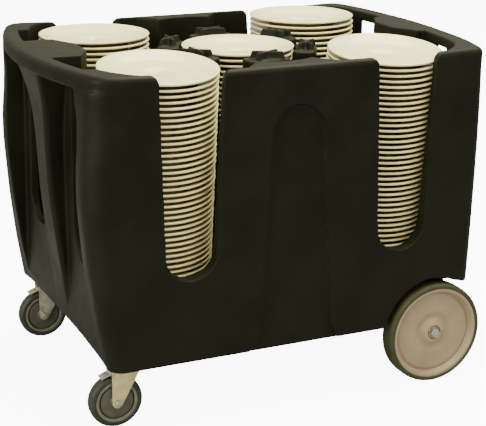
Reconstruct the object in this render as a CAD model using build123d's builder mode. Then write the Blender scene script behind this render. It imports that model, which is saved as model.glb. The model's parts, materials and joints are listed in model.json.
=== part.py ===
from build123d import *
from math import cos, pi, radians, sin
import os

os.makedirs("parts", exist_ok=True)

# A dish caddy: a double-walled moulded tub on two fixed rear wheels and two braked swivel
# casters. Five stacks of dinner plates stand in it, held apart by six lift-out dividers.
# The ground is z = 0, +X points to the fixed wheels, -Y is the near long side.

# ---- Tub: overall form -------------------------------------------------------------------
rim_length = 1064.0          # over both bowed ends
body_width = 732.0
rim_top = 824.0              # height of the rim and of both end decks
rim_band = 34.0              # height of the straight band round the rim
underside = 162.0            # height of the flat bottom
corner_radius = 60.0
rim_edge_radius = 13.0
base_edge_radius = 7.0
caster_end_bow = 78.0        # how far an end bows out from its corners to its middle
wheel_end_bow = 55.0
# the caster end leans out towards the rim, faster near the foot and again under the rim
foot_inset = 93.0            # how far the foot stands in from the rim's end
foot_lean = 66.3
brow_flare = 23.7
brow_start = 655.0
low_bow = -8.0               # the lower half of the end is slightly hollow
bow_start = 500.0
set_back = 12.0              # the end wall stands back under the rim band by this
set_back_bow = 1.5           # and bows out less there, by this much of the set-back
band_step = 8.0              # the wall's bow is this much less than the band's
band_step_wheel = 3.0
foot_inset_wheel = 18.0
band_inset_wheel = 5.0
section_count = 12

# ---- Plate wells -------------------------------------------------------------------------
well_shift = 12.0            # the wells' middle lies this far towards the fixed wheels
centre_shift = 4.0           # and the middle stack's this much further
well_spacing_x = 577.0       # centre to centre along the cart
well_spacing_y = 440.8       # centre to centre across the cart
well_radius = 157.0
well_draft = 12.0            # the wells are this much narrower in radius at the floor
wall_top = 16.0              # long wall thickness at the rim
wall_foot = 35.0             # long wall thickness at the floor
floor_height = 285.0
seat_height = 11.0           # raised seats under the stacks
seat_radius = 92.0
near_seat_lift = 1.0         # the near and middle seats stand this much higher
centre_seat_lift = 3.0
nose_half = 40.0             # flat nose of each end pillar
pillar_half = 106.0
pillar_chamfer = 35.0
caster_nose_inset = 151.0    # from the rim's end to the nose of the caster-end pillar
wheel_nose_inset = 110.0
pilaster_shift = -4.5
pilaster_depth = 70.0        # how far the middle of a long wall stands in
pilaster_half = 68.0
pilaster_flank = 58.0
scallop_depth = 20.0

# ---- Openings ----------------------------------------------------------------------------
slot_shift = 266.5           # slot centres from the wells' middle
slot_half_top = 75.0
slot_half_low = 62.0
slot_bottom = 356.0
slot_lip = 20.0
arch_shift = 4.0
arch_half = 66.0
arch_half_foot = 92.0
arch_foot_flare = 26.0
arch_top = 734.0
arch_depth = 8.0
arch_kink_height = 40.0
grip_bar_caster = 38.0       # width of the rim's hand bar at the caster end
grip_bar_wheel = 52.0
grip_end = 260.0             # the grip openings end this far from the middle
grip_drop_caster = 64.0      # how deep the open space behind each hand bar is
grip_drop_wheel = 124.0
hand_hole_top = 24.0         # below the rim
hand_hole_height = 65.0
hand_hole_corner = 20.0
rib_half = 45.0              # central rib of the caster end, at its narrowest
rib_half_top = 92.0
rib_flare = 180.0            # it widens over this height below the rim band
rib_foot_flare = 5.0
rib_round = 12.0             # radius of its shoulders
recess_half = 281.0          # outer edge of the end recesses
recess_foot = 195.0
recess_floor = 91.0          # floor of the recesses, from the rim's end
recess_floor_foot = 86.0     # the same at their foot
recess_mid_height = 300.0    # the floor is upright above this
end_slot_y = 171.5           # access slots from the end recesses into the wells
end_slot_half = 75.0
end_slot_bottom = 354.0
end_slot_reach = 60.0        # how far in from the recess floor they are cut

# ---- Fixed wheels ------------------------------------------------------------------------
wheel_radius = 127.0
tyre_width = 46.0
tyre_edge = 7.0
hub_radius = 115.0
hub_step = 2.0               # the hub's rim stands in from the tyre's faces by this
hub_lip = 10.0
hub_dish = 12.0              # depth of the dish behind the outer disc plane
hub_web = 10.0
axle_x = 387.6
wheel_outer_face = 374.0     # outer disc plane from the cart's middle
axle_radius = 9.5
running_gap = 0.05
axial_gap = 0.3
arch_gap = 17.0              # wheel arch over the tyre
wheel_house_depth = 74.0
tail_height = 258.0
tail_start = 446.0
bush_wall = 3.5
boss_radius = 24.0
boss_foot_radius = 40.0
boss_height = 6.0
boss_recess_radius = 17.0
boss_recess_depth = 5.0
boss_reach = 14.0            # the boss stands in past the tyre's inner face
nut_flats = 22.0
nut_thickness = 9.0
washer_radius = 14.0
washer_thickness = 2.0
spacer_radius = 14.0
bracket_width = 44.0
bracket_length = 96.0
bracket_y = 236.0
bracket_flange = 8.0
bracket_eye = 20.0
bracket_bolt_x = 36.0
bracket_bolt_y = 12.0
bolt_radius = 4.0
bolt_head_flats = 13.0
bolt_head = 5.3
bolt_depth = 25.0            # how far the bolts reach into the tub
bolt_hole_slack = 0.3

# ---- Swivel casters ----------------------------------------------------------------------
caster_radius = 63.5
caster_tread_width = 32.0
caster_core_radius = 50.0
caster_groove_radius = 42.5
caster_groove_width = 2.0
caster_x = -385.0            # swivel axis
caster_y = 288.5
caster_trail = 30.0          # the wheel's axle lies this far behind the swivel axis
top_plate_length = 92.0
top_plate_width = 64.0
plate_thickness = 3.5
bolt_spacing_x = 73.0
bolt_spacing_y = 44.0
race_radius = 27.0
race_height = 6.0
kingpin_radius = 6.0
kingpin_head_radius = 11.0
kingpin_head = 4.5
fork_thickness = 3.5
fork_gap = 2.5               # between the wheel's tread and each leg
fork_foot_radius = 12.5
fork_slope = 32.0            # where the sloped front edge leaves the rounded foot
fork_front = 60.0            # the crown reaches this far in front of the wheel's axle
crown_top = 148.0
caster_axle_radius = 5.0
caster_bush_radius = 8.0
caster_nut_flats = 15.0
caster_nut_thickness = 6.0
brake_pin_radius = 2.5
brake_angle = 98.0           # the brake's pin over the wheel's axle, from +X upwards
brake_orbit = 70.5
brake_shoe_radius = 67.5
brake_shoe_thickness = 3.0
brake_shoe_end = 126.0
brake_width = 26.0
brake_tab = 8.0

# ---- Dividers ----------------------------------------------------------------------------
divider_ring = 142.0         # inner faces lie on this radius round the middle stack
divider_back = 192.0
divider_length = 112.0
divider_end_radius = 22.0
divider_shoulder = 800.0
crest_height = 18.0
crest_length = 84.0
crest_width = 17.0
crest_cross = 26.0           # the two ridges of the crest cross at twice this angle
crest_taper = 18.0
peg_radius = 8.0
peg_length = 20.0
peg_spacing = 56.0
socket_slack = 0.3

# ---- Plates ------------------------------------------------------------------------------
plate_radius = 137.8
plate_height = 27.0
plate_pitch = 13.3
plate_edge = 5.0             # thickness of a rim
plate_groove = 12.0          # how far the space between two rims reaches in
plate_foot_radius = 82.0
plate_foot_height = 4.0
plate_dish_radius = 98.0
plate_dish_depth = 17.0
corner_count = 38
centre_count = 37
tall_count = 39
near_lean = 5.35             # the near stacks lean out by this many degrees
far_stagger = 30.0           # the far stacks' plates stay level and step out by this in all
seat_gap = 0.3

rim_half = rim_length / 2
half_width = body_width / 2
rim_foot = rim_top - rim_band
well_dx = well_spacing_x / 2
well_dy = well_spacing_y / 2
seat_top = floor_height + seat_height
axle_z = wheel_radius


def outline(height, left, caster_bow, right, wheel_bow):
    # plan outline of the tub at one height: straight sides, bowed ends, round corners
    with BuildSketch(Plane.XY.offset(height)) as plan:
        with BuildLine():
            near = Line((left + caster_bow, -half_width), (right - wheel_bow, -half_width))
            far = Line((right - wheel_bow, half_width), (left + caster_bow, half_width))
            ThreePointArc(near @ 1, (right, 0), far @ 0)
            ThreePointArc(far @ 1, (left, 0), near @ 0)
        make_face()
        fillet(plan.vertices(), corner_radius)
    return plan.sketch


def wall_section(height):
    # outline of the tub's wall between its foot and the rim band
    rise = (height - underside) / (rim_foot - underside)
    brow = max(0, (height - brow_start) / (rim_foot - brow_start))
    swell = max(0, (height - bow_start) / (rim_foot - bow_start))
    lean = foot_lean * (1.45 * rise - 0.45 * rise ** 2)
    back = set_back * swell ** 0.8
    left = -rim_half + foot_inset - lean - brow_flare * brow ** 1.8 + back
    caster_bow = low_bow + (caster_end_bow - low_bow - band_step) * swell ** 2.2
    caster_bow -= set_back_bow * back
    right = rim_half - band_inset_wheel - (foot_inset_wheel - band_inset_wheel) * (1 - rise) ** 2
    return outline(height, left, caster_bow, right, wheel_end_bow - band_step_wheel)


def rim_plan(height):
    return outline(height, -rim_half, caster_end_bow, rim_half, wheel_end_bow)


def on_wheel(radius, angle):
    # point in the side view, seen from the caster wheel's centre
    return (caster_x - caster_trail + radius * cos(radians(angle)),
            caster_radius + radius * sin(radians(angle)))


def other_side(piece):
    # the same piece on the far side of the cart
    with BuildPart() as twin:
        add(mirror(piece.part, about=Plane.XZ, mode=Mode.PRIVATE))
    return twin


def save(piece, name):
    piece.part.label = name
    export_step(piece.part, "parts/" + name + ".step")


# ---- Cutting forms of the tub ------------------------------------------------------------
well_depth = rim_top - floor_height + 1
with BuildPart() as cavity:
    # middle space, its ends shaped by the two pillars
    with BuildSketch(Plane.XY.offset(floor_height)):
        with BuildLine():
            caster_nose = -rim_half + caster_nose_inset
            wheel_nose = rim_half - wheel_nose_inset
            cheek = well_dy - 30
            top_half = half_width - wall_top
            Polyline(
                (caster_nose, -nose_half), (caster_nose, nose_half),
                (caster_nose - pillar_chamfer, pillar_half), (caster_nose - pillar_chamfer, cheek),
                (well_shift - well_dx, cheek), (well_shift - well_dx, top_half),
                (well_shift + well_dx, top_half), (well_shift + well_dx, cheek),
                (wheel_nose + pillar_chamfer, cheek), (wheel_nose + pillar_chamfer, pillar_half),
                (wheel_nose, nose_half), (wheel_nose, -nose_half),
                (wheel_nose + pillar_chamfer, -pillar_half), (wheel_nose + pillar_chamfer, -cheek),
                (well_shift + well_dx, -cheek), (well_shift + well_dx, -top_half),
                (well_shift - well_dx, -top_half), (well_shift - well_dx, -cheek),
                (caster_nose - pillar_chamfer, -cheek), (caster_nose - pillar_chamfer, -pillar_half),
                close=True,
            )
        make_face()
    extrude(amount=well_depth)
    # four round wells, narrower at the floor
    with Locations((well_shift, 0, floor_height + well_depth / 2)):
        with GridLocations(well_spacing_x, well_spacing_y, 2, 2):
            Cone(well_radius - well_draft, well_radius, well_depth)
    # the long walls are thicker at the floor than at the rim
    with BuildSketch(Plane.YZ):
        with BuildLine():
            foot_half = half_width - wall_foot
            Polyline(
                (-foot_half, floor_height), (foot_half, floor_height),
                (top_half, rim_top + 1), (-top_half, rim_top + 1), close=True,
            )
        make_face()
    extrude(amount=rim_length, both=True, mode=Mode.INTERSECT)
    # pilasters in the middle of the long walls, each with a shallow scallop
    with BuildSketch(Plane.XY.offset(floor_height)):
        with BuildLine():
            face_y = -half_width + pilaster_depth
            flank_half = pilaster_half + pilaster_flank
            edge = Line((pilaster_shift - flank_half, -half_width),
                        (pilaster_shift - pilaster_half, face_y))
            other = Line((pilaster_shift + pilaster_half, face_y),
                         (pilaster_shift + flank_half, -half_width))
            ThreePointArc(edge @ 1, (pilaster_shift, face_y - scallop_depth), other @ 0)
            Line(other @ 1, edge @ 0)
        make_face()
        mirror(about=Plane.XZ)
    extrude(amount=well_depth, mode=Mode.SUBTRACT)

with BuildSketch(Plane.XZ) as slot_shape:
    # access slot, with a rolled lip where it meets the rim
    with BuildLine():
        round_z = slot_bottom + slot_half_low
        lip_z = rim_top - slot_lip
        lip_x = slot_half_top + slot_lip
        right_side = Line((slot_half_low, round_z), (slot_half_top, lip_z))
        right_lip = ThreePointArc(right_side @ 1, (lip_x - slot_lip * cos(pi / 4), rim_top - slot_lip
                                  * (1 - sin(pi / 4))), (lip_x, rim_top))
        Polyline(right_lip @ 1, (lip_x, rim_top + 5), (-lip_x, rim_top + 5), (-lip_x, rim_top))
        left_lip = ThreePointArc((-lip_x, rim_top), (-lip_x + slot_lip * cos(pi / 4), rim_top
                                 - slot_lip * (1 - sin(pi / 4))), (-slot_half_top, lip_z))
        left_side = Line(left_lip @ 1, (-slot_half_low, round_z))
        ThreePointArc(left_side @ 1, (0, slot_bottom), right_side @ 0)
    make_face()

with BuildPart() as slots:
    for side in (-1, 1):
        with Locations((well_shift + side * slot_shift, 0, 0)):
            add(extrude(slot_shape.sketch, amount=half_width + 10, both=True, mode=Mode.PRIVATE))
    # keep the cut in the two long walls
    with Locations((0, 0, rim_top / 2)):
        Box(rim_length, 2 * (half_width - pilaster_depth), 2 * rim_top, mode=Mode.SUBTRACT)

with BuildPart() as arches:
    # shallow arched panels in the middle of the long faces
    with BuildSketch(Plane.XZ):
        with BuildLine():
            spring_z = arch_top - arch_half
            kink_z = underside + arch_kink_height
            foot_x = arch_half_foot + arch_foot_flare
            Polyline((arch_shift + arch_half, spring_z), (arch_shift + arch_half_foot, kink_z),
                     (arch_shift + foot_x, underside - 5), (arch_shift - foot_x, underside - 5),
                     (arch_shift - arch_half_foot, kink_z), (arch_shift - arch_half, spring_z))
            ThreePointArc((arch_shift - arch_half, spring_z), (arch_shift, arch_top),
                          (arch_shift + arch_half, spring_z))
        make_face()
    extrude(amount=half_width + 5, both=True)
    with Locations((0, 0, rim_top / 2)):
        Box(rim_length, 2 * (half_width - arch_depth), 2 * rim_top, mode=Mode.SUBTRACT)

with BuildPart() as recesses:
    # tall recesses in the caster end, either side of the central rib
    with BuildSketch(Plane.YZ.offset(-rim_half - 20)):
        with BuildLine():
            spread = rib_half_top - rib_half
            rib_side = Spline((rib_half_top, rim_foot),
                              (rib_half + 0.36 * spread, rim_foot - 0.42 * rib_flare),
                              (rib_half + 0.04 * spread, rim_foot - rib_flare),
                              (rib_half, rim_foot - 1.7 * rib_flare),
                              (rib_half + rib_foot_flare, recess_foot))
            Polyline(rib_side @ 0, (recess_half, rim_foot), (recess_half, recess_foot), rib_side @ 1)
        make_face()
    extrude(amount=rim_length / 2)
    # their floor is upright, while the wall leans out from it towards the rim
    with BuildSketch(Plane.XZ):
        with BuildLine():
            outside = -rim_half - 30
            Polyline((outside, recess_foot), (-rim_half + recess_floor_foot, recess_foot),
                     (-rim_half + recess_floor, recess_mid_height),
                     (-rim_half + recess_floor, rim_foot), (outside, rim_foot), close=True)
        make_face()
    extrude(amount=half_width, both=True, mode=Mode.INTERSECT)
    mirror(about=Plane.XZ)

with BuildPart() as end_slots:
    # round-bottomed slots from the recesses on into the wells
    with BuildSketch(Plane.YZ.offset(-rim_half + recess_floor - 1)):
        slot_height = rim_foot - end_slot_bottom - end_slot_half
        with Locations((end_slot_y, rim_foot - slot_height)):
            Circle(end_slot_half)
        with Locations((end_slot_y, rim_foot)):
            Rectangle(2 * end_slot_half, slot_height, align=(Align.CENTER, Align.MAX))
    extrude(amount=end_slot_reach)
    mirror(about=Plane.XZ)

with BuildPart() as grips:
    # open space between the rim's hand bars and the wells, at both ends
    reach = rim_half - well_dx + 10
    grip_mid = (pillar_half + grip_end) / 2
    for bar, side, drop in ((grip_bar_caster, -1, grip_drop_caster),
                            (grip_bar_wheel, 1, grip_drop_wheel)):
        with BuildSketch(Plane.XY.offset(rim_top - drop)):
            add(rim_plan(0))
            offset(amount=-bar)
            with Locations((side * (rim_half - reach / 2), 0)):
                with GridLocations(1, 2 * grip_mid, 1, 2):
                    RectangleRounded(reach, grip_end - pillar_half, 16, mode=Mode.INTERSECT)
        extrude(amount=drop + 1)

with BuildPart() as hand_holes:
    # hand holes through the wheel end, under the rim
    with BuildSketch(Plane.YZ.offset(rim_half - 75)):
        with Locations((0, rim_top - hand_hole_top - hand_hole_height / 2)):
            with GridLocations(2 * grip_mid, 1, 2, 1):
                RectangleRounded(grip_end - pillar_half - 8, hand_hole_height, hand_hole_corner)
    extrude(amount=90)

with BuildPart() as wheel_houses:
    # a round house over each fixed wheel, and a raised tail behind them
    with BuildSketch(Plane.XZ):
        with Locations((axle_x, axle_z)):
            Circle(wheel_radius + arch_gap)
    extrude(amount=half_width + 10, both=True)
    with Locations((axle_x, 0, axle_z)):
        Box(3 * wheel_radius, 2 * (half_width - wheel_house_depth), 3 * wheel_radius,
            mode=Mode.SUBTRACT)
    tail_length = rim_half + 20 - tail_start
    with Locations((tail_start + tail_length / 2, 0, tail_height / 2)):
        Box(tail_length, body_width + 20, tail_height)

# ---- Tub ---------------------------------------------------------------------------------
centre_x = well_shift + centre_shift
divider_middle = (divider_ring + divider_back) / 2
caster_bolts_at = [(caster_x + i * bolt_spacing_x / 2, side * caster_y + j * bolt_spacing_y / 2)
                   for side in (-1, 1) for i in (-1, 1) for j in (-1, 1)]
bracket_bolts_at = [(axle_x + i * bracket_bolt_x, side * bracket_y + j * bracket_bolt_y)
                    for side in (-1, 1) for i in (-1, 1) for j in (-1, 1)]
divider_turns = [30 + 60 * turn for turn in range(6)]
near_tilt = Rotation(near_lean, 0, 0)
corner_height = plate_height + (corner_count - 1) * plate_pitch
# the near stacks' top plates stand in line with the far ones, so their feet stand further in
near_foot_y = -well_dy + corner_height * sin(radians(near_lean))
near_foot_z = seat_top + near_seat_lift
far_foot_y = well_dy - far_stagger
brake_x, brake_z = on_wheel(brake_orbit, brake_angle)
near_feet = [Location((well_shift + side * well_dx, near_foot_y, near_foot_z)) * near_tilt
             for side in (-1, 1)]

with BuildPart() as body_shell:
    for step in range(section_count + 1):
        add(wall_section(underside + (rim_foot - underside) * step / section_count))
    loft()
    fillet(body_shell.faces().sort_by(Axis.Z)[0].edges(), base_edge_radius)
    add(rim_plan(rim_foot))
    extrude(amount=rim_band)
    fillet(body_shell.faces().sort_by(Axis.Z)[-1].edges(), rim_edge_radius)
    for cutter in (cavity, slots, arches, recesses, end_slots, grips, hand_holes, wheel_houses):
        add(cutter.part, mode=Mode.SUBTRACT)
    # the rib's two shoulders are the long edges that lean out with the end wall
    shoulders = body_shell.edges().filter_by(
        lambda edge: edge.bounding_box().max.X < -rim_half + recess_floor
        and abs(edge.center().Y) < rib_half_top
        and edge.bounding_box().size.Z > rim_foot - recess_mid_height
        and edge.bounding_box().size.X > rib_half)
    fillet(shoulders, rib_round)
    # raised seats: level under the middle and far stacks, sloped under the near ones
    with Locations((centre_x, 0, seat_top + centre_seat_lift),
                   (well_shift - well_dx, far_foot_y, seat_top),
                   (well_shift + well_dx, far_foot_y, seat_top)):
        Cylinder(seat_radius, 2 * seat_height, align=(Align.CENTER, Align.CENTER, Align.MAX))
    with Locations(*near_feet):
        Cylinder(seat_radius, 60, align=(Align.CENTER, Align.CENTER, Align.MAX))
    # sockets for the dividers' pegs
    with Locations(*[Location((centre_x, 0, floor_height), (0, 0, turn)) for turn in divider_turns]):
        with Locations((divider_middle, -peg_spacing / 2, 0), (divider_middle, peg_spacing / 2, 0)):
            Cylinder(peg_radius + socket_slack, peg_length + 2 * socket_slack,
                     align=(Align.CENTER, Align.CENTER, Align.MAX), mode=Mode.SUBTRACT)
    # bolt holes for the casters and for the axle's brackets
    with Locations(*[(x, y, underside) for x, y in caster_bolts_at + bracket_bolts_at]):
        Cylinder(bolt_radius, bolt_depth, align=(Align.CENTER, Align.CENTER, Align.MIN),
                 mode=Mode.SUBTRACT)

print("tub volume", round(body_shell.part.volume / 1e6, 2), "litres, valid", body_shell.part.is_valid)
save(body_shell, "body_shell")

# ---- Fixed wheels ------------------------------------------------------------------------
# in this plane x is the cart's +Y and y is the distance from the axle
axle_plane = Plane(origin=(axle_x, 0, axle_z), x_dir=(0, 1, 0), z_dir=(1, 0, 0))
axle_line = Axis((axle_x, 0, axle_z), (0, 1, 0))
tyre_inner_face = wheel_outer_face - tyre_width
hub_face = wheel_outer_face - hub_step
dish_face = wheel_outer_face - hub_dish
boss_face = dish_face + boss_height
seat_face = boss_face - boss_recess_depth
boss_end = tyre_inner_face - boss_reach
bush_radius = axle_radius + running_gap + bush_wall

with BuildPart() as tyre_far:
    with BuildSketch(axle_plane) as tyre_profile:
        with Locations(((wheel_outer_face + tyre_inner_face) / 2, (wheel_radius + hub_radius) / 2)):
            Rectangle(tyre_width, wheel_radius - hub_radius)
        fillet(tyre_profile.vertices().group_by(Axis.Y)[-1], tyre_edge)
    revolve(axis=axle_line)

with BuildPart() as hub_far:
    with BuildSketch(axle_plane):
        with BuildLine():
            web_back = dish_face - hub_web
            rim_back = tyre_inner_face + hub_step
            rim_inner = hub_radius - hub_lip
            Polyline(
                (boss_end, bush_radius), (boss_end, boss_radius), (web_back, boss_radius),
                (web_back, rim_inner - 3), (rim_back, rim_inner), (rim_back, hub_radius),
                (hub_face, hub_radius), (hub_face, rim_inner), (dish_face, rim_inner - 6),
                (dish_face, boss_foot_radius), (boss_face, boss_radius),
                (boss_face, boss_recess_radius), (seat_face, boss_recess_radius),
                (seat_face, bush_radius), close=True,
            )
        make_face()
    revolve(axis=axle_line)

with BuildPart() as bush_far:
    with BuildSketch(axle_plane):
        with Locations(((boss_end + seat_face) / 2, bush_radius - bush_wall / 2)):
            Rectangle(seat_face - boss_end, bush_wall)
    revolve(axis=axle_line)

for piece, name in ((tyre_far, "tyre"), (hub_far, "wheel_hub"), (bush_far, "wheel_bush")):
    save(piece, name + "_far")
    save(other_side(piece), name + "_near")

with BuildPart() as rear_axle:
    with BuildSketch(Plane.XZ):
        with Locations((axle_x, axle_z)):
            Circle(axle_radius)
    extrude(amount=wheel_outer_face, both=True)
    chamfer(rear_axle.edges().filter_by(GeomType.CIRCLE), 1)
save(rear_axle, "rear_axle")

with BuildPart() as axle_bracket_far:
    bracket_mid = Plane.XZ.offset(-bracket_y)
    with BuildSketch(bracket_mid):
        with Locations((axle_x, underside - bracket_flange / 2)):
            Rectangle(bracket_length, bracket_flange)
        with Locations((axle_x, axle_z)):
            Circle(bracket_eye)
        with Locations((axle_x, (underside + axle_z) / 2)):
            Rectangle(2 * bracket_eye, underside - axle_z)
        with Locations((axle_x, axle_z)):
            Circle(axle_radius + running_gap, mode=Mode.SUBTRACT)
    extrude(amount=bracket_width / 2, both=True)
    with Locations(*[(x, y, underside) for x, y in bracket_bolts_at if y > 0]):
        Cylinder(bolt_radius + bolt_hole_slack, 3 * bracket_flange, mode=Mode.SUBTRACT)
save(axle_bracket_far, "axle_bracket_far")
save(other_side(axle_bracket_far), "axle_bracket_near")

with BuildPart() as axle_spacer:
    # a tube on the axle from each bracket to the wheel's boss
    spacer_start = bracket_y + bracket_width / 2
    spacer_length = boss_end - axial_gap - spacer_start
    with BuildSketch(Plane.XZ.offset(-spacer_start)):
        with Locations((axle_x, axle_z)):
            Circle(spacer_radius)
            Circle(axle_radius + running_gap, mode=Mode.SUBTRACT)
    extrude(amount=-spacer_length)
    mirror(about=Plane.XZ)
save(axle_spacer, "axle_spacer")

with BuildPart() as axle_washers:
    with BuildSketch(Plane.XZ.offset(-seat_face - axial_gap)):
        with Locations((axle_x, axle_z)):
            Circle(washer_radius)
            Circle(axle_radius + running_gap, mode=Mode.SUBTRACT)
    extrude(amount=-washer_thickness)
    mirror(about=Plane.XZ)
save(axle_washers, "axle_washers")

with BuildPart() as axle_nuts:
    with BuildSketch(Plane.XZ.offset(-seat_face - axial_gap - washer_thickness)):
        with Locations((axle_x, axle_z)):
            RegularPolygon(nut_flats / 2, 6, major_radius=False)
            Circle(axle_radius + running_gap, mode=Mode.SUBTRACT)
    extrude(amount=-nut_thickness)
    mirror(about=Plane.XZ)
save(axle_nuts, "axle_nuts")


def underside_bolts(places, head_z):
    # hexagon-headed bolts up into the tub
    with BuildPart() as bolts:
        with Locations(*[(x, y, head_z) for x, y in places]):
            Cylinder(bolt_radius, bolt_depth + underside - head_z,
                     align=(Align.CENTER, Align.CENTER, Align.MIN))
        with BuildSketch(Plane.XY.offset(head_z - bolt_head)):
            with Locations(*places):
                RegularPolygon(bolt_head_flats / 2, 6, major_radius=False)
        extrude(amount=bolt_head)
    return bolts


save(underside_bolts(bracket_bolts_at, underside - bracket_flange), "bracket_bolts")
save(underside_bolts(caster_bolts_at, underside - plate_thickness), "caster_bolts")

# ---- Swivel casters ----------------------------------------------------------------------
plate_foot = underside - plate_thickness
race_foot = plate_foot - race_height
crown_foot = crown_top - fork_thickness
wheel_x = caster_x - caster_trail
wheel_z = caster_radius
half_tread = caster_tread_width / 2
leg_inner = half_tread + fork_gap
leg_outer = leg_inner + fork_thickness
boss_side = leg_inner - axial_gap
caster_plane = Plane(origin=(wheel_x, caster_y, wheel_z), x_dir=(0, 1, 0), z_dir=(1, 0, 0))
caster_line = Axis((wheel_x, caster_y, wheel_z), (0, 1, 0))

with BuildPart() as caster_plate_far:
    with BuildSketch(Plane.XY.offset(plate_foot)):
        with Locations((caster_x, caster_y)):
            RectangleRounded(top_plate_length, top_plate_width, 8)
        with Locations(*[spot for spot in caster_bolts_at if spot[1] > 0]):
            Circle(bolt_radius + bolt_hole_slack, mode=Mode.SUBTRACT)
    extrude(amount=plate_thickness)
    with BuildSketch(Plane.XY.offset(race_foot)):
        with Locations((caster_x, caster_y)):
            Circle(race_radius)
    extrude(amount=race_height)
    fillet(caster_plate_far.edges().filter_by(GeomType.CIRCLE).group_by(Axis.Z)[0], 2)
    with Locations((caster_x, caster_y, race_foot)):
        Cylinder(kingpin_radius + running_gap, 6 * race_height, mode=Mode.SUBTRACT)

with BuildPart() as kingpin_far:
    # fixed in the top plate; the fork turns on it and its head carries the fork
    with Locations((caster_x, caster_y, crown_foot - axial_gap)):
        Cylinder(kingpin_radius, underside - crown_foot,
                 align=(Align.CENTER, Align.CENTER, Align.MIN))
        Cylinder(kingpin_head_radius, kingpin_head, align=(Align.CENTER, Align.CENTER, Align.MAX))

with BuildPart() as caster_fork_far:
    with BuildSketch(Plane.XZ.offset(-caster_y)) as side_view:
        # one leg, seen from the side: upright at the back, sloped in front
        with BuildLine():
            front_foot = on_wheel(fork_foot_radius, -fork_slope)
            back_foot = on_wheel(fork_foot_radius, 180)
            Polyline(back_foot, (wheel_x - fork_foot_radius, crown_top),
                     (wheel_x + fork_front, crown_top), front_foot)
            ThreePointArc(front_foot, on_wheel(fork_foot_radius, -90), back_foot)
        make_face()
    extrude(amount=leg_outer, both=True)
    with Locations((caster_x, caster_y, crown_foot)):
        Box(4 * race_radius, 2 * leg_inner, 2 * crown_foot,
            align=(Align.CENTER, Align.CENTER, Align.MAX), mode=Mode.SUBTRACT)
    with BuildSketch(Plane.XY.offset(crown_foot)):
        with Locations((caster_x, caster_y)):
            Circle(race_radius - 1)
    extrude(amount=race_foot - axial_gap - crown_foot)
    with Locations((caster_x, caster_y, crown_top)):
        Cylinder(kingpin_radius + running_gap, 4 * race_height, mode=Mode.SUBTRACT)
    with Locations(Location((wheel_x, caster_y, wheel_z), (90, 0, 0))):
        Cylinder(caster_axle_radius + running_gap, 4 * leg_outer, mode=Mode.SUBTRACT)
    with Locations(Location((brake_x, caster_y, brake_z), (90, 0, 0))):
        Cylinder(brake_pin_radius + running_gap, 4 * leg_outer, mode=Mode.SUBTRACT)

with BuildPart() as caster_tread_far:
    with BuildSketch(caster_plane) as tread_profile:
        with Locations((0, (caster_radius + caster_core_radius) / 2)):
            Rectangle(caster_tread_width, caster_radius - caster_core_radius)
        fillet(tread_profile.vertices().group_by(Axis.Y)[-1], 6)
    revolve(axis=caster_line)

with BuildPart() as caster_core_far:
    with BuildSketch(caster_plane):
        with BuildLine():
            core_face = half_tread - 1
            core_side = [(boss_side, caster_bush_radius), (boss_side, 14), (core_face - 1, 17),
                         (core_face - 1, caster_groove_radius - caster_groove_width),
                         (core_face - 4, caster_groove_radius - caster_groove_width / 2),
                         (core_face, caster_groove_radius), (core_face, caster_core_radius)]
            other_half = [(-y, r) for y, r in reversed(core_side)]
            Polyline(*core_side, *other_half, close=True)
        make_face()
    revolve(axis=caster_line)

with BuildPart() as caster_bush_far:
    with BuildSketch(caster_plane):
        bush_inner = caster_axle_radius + running_gap
        with Locations((0, (caster_bush_radius + bush_inner) / 2)):
            Rectangle(2 * boss_side, caster_bush_radius - bush_inner)
    revolve(axis=caster_line)

with BuildPart() as caster_axle_far:
    # a bolt through fork and wheel, with a hexagon head and a nut
    with BuildSketch(Plane.XZ.offset(-caster_y)):
        with Locations((wheel_x, wheel_z)):
            Circle(caster_axle_radius)
    extrude(amount=leg_outer + caster_nut_thickness + 2, both=True)
    for offset_y in (-leg_outer - caster_nut_thickness, leg_outer):
        with BuildSketch(Plane.XZ.offset(-caster_y - offset_y)):
            with Locations((wheel_x, wheel_z)):
                RegularPolygon(caster_nut_flats / 2, 6, major_radius=False)
        extrude(amount=-caster_nut_thickness)

with BuildPart() as brake_pin_far:
    with BuildSketch(Plane.XZ.offset(-caster_y)):
        with Locations((brake_x, brake_z)):
            Circle(brake_pin_radius)
    extrude(amount=leg_outer + 1.5, both=True)

with BuildPart() as brake_far:
    # shoe over the tread, hinged on the pin, with an upturned foot tab
    with BuildSketch(Plane.XZ.offset(-caster_y)):
        with BuildLine():
            low = [on_wheel(brake_shoe_radius, angle) for angle in (brake_angle, 112, brake_shoe_end)]
            high = [on_wheel(brake_shoe_radius + brake_shoe_thickness, angle)
                    for angle in (brake_angle, 110, brake_shoe_end - 2)]
            tab_low = on_wheel(brake_shoe_radius + brake_tab, brake_shoe_end + 3)
            tab_high = on_wheel(brake_shoe_radius + brake_tab, brake_shoe_end)
            ThreePointArc(*low)
            Polyline(low[-1], tab_low, tab_high, high[-1])
            ThreePointArc(*reversed(high))
            Line(high[0], low[0])
        make_face()
        with Locations((brake_x, brake_z)):
            Circle(brake_pin_radius + brake_shoe_thickness - 0.6)
            Circle(brake_pin_radius + running_gap, mode=Mode.SUBTRACT)
    extrude(amount=brake_width / 2, both=True)

for piece, name in ((caster_plate_far, "caster_plate"), (kingpin_far, "caster_kingpin"),
                    (caster_fork_far, "caster_fork"), (caster_tread_far, "caster_tread"),
                    (caster_core_far, "caster_core"), (caster_bush_far, "caster_bush"),
                    (caster_axle_far, "caster_axle"), (brake_pin_far, "brake_pin"),
                    (brake_far, "brake_shoe")):
    save(piece, name + "_far")
    save(other_side(piece), name + "_near")

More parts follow.
